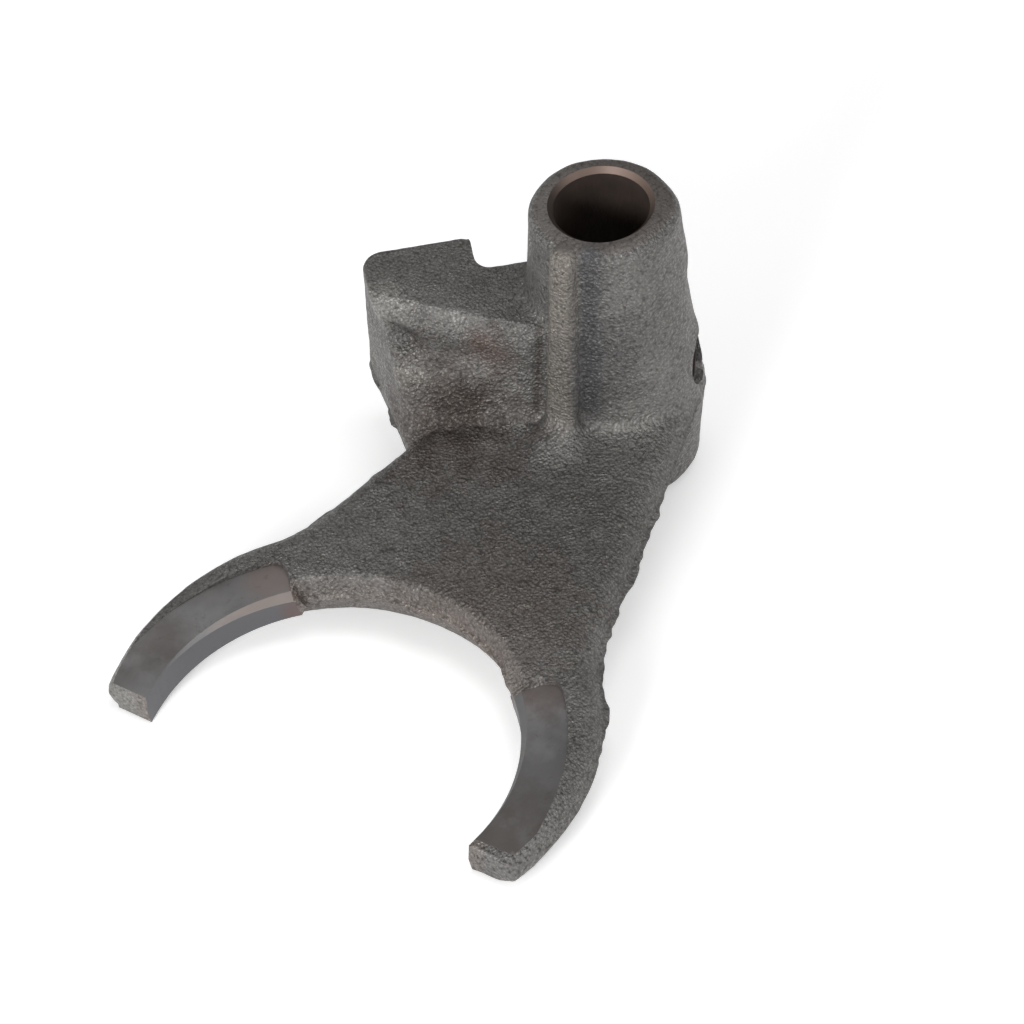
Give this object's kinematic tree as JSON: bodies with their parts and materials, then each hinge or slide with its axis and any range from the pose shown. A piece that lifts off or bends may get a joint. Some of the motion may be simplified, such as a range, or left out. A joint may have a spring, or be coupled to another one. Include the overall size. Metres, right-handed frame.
{
  "type": "power take-off shift fork",
  "caption": "Cast shift fork with a long rail hub, a stiffening rib, a notched selector block and machined tine pads that run in a sliding sleeve's groove.",
  "frame": {"origin": "on the rail bore's axis, in the middle plane of the web and the tines", "axes": "+Z along the rail bore towards the long end of the hub, +X from the bore towards the fork's open end"},
  "size_m": [0.1415, 0.1026, 0.0732],
  "materials": {
    "casting": "shot-blasted as cast, with machined bore, hub ends and pads"
  },
  "bodies": {
    "root": {"shift_fork": "casting"}
  },
  "joints": []
}
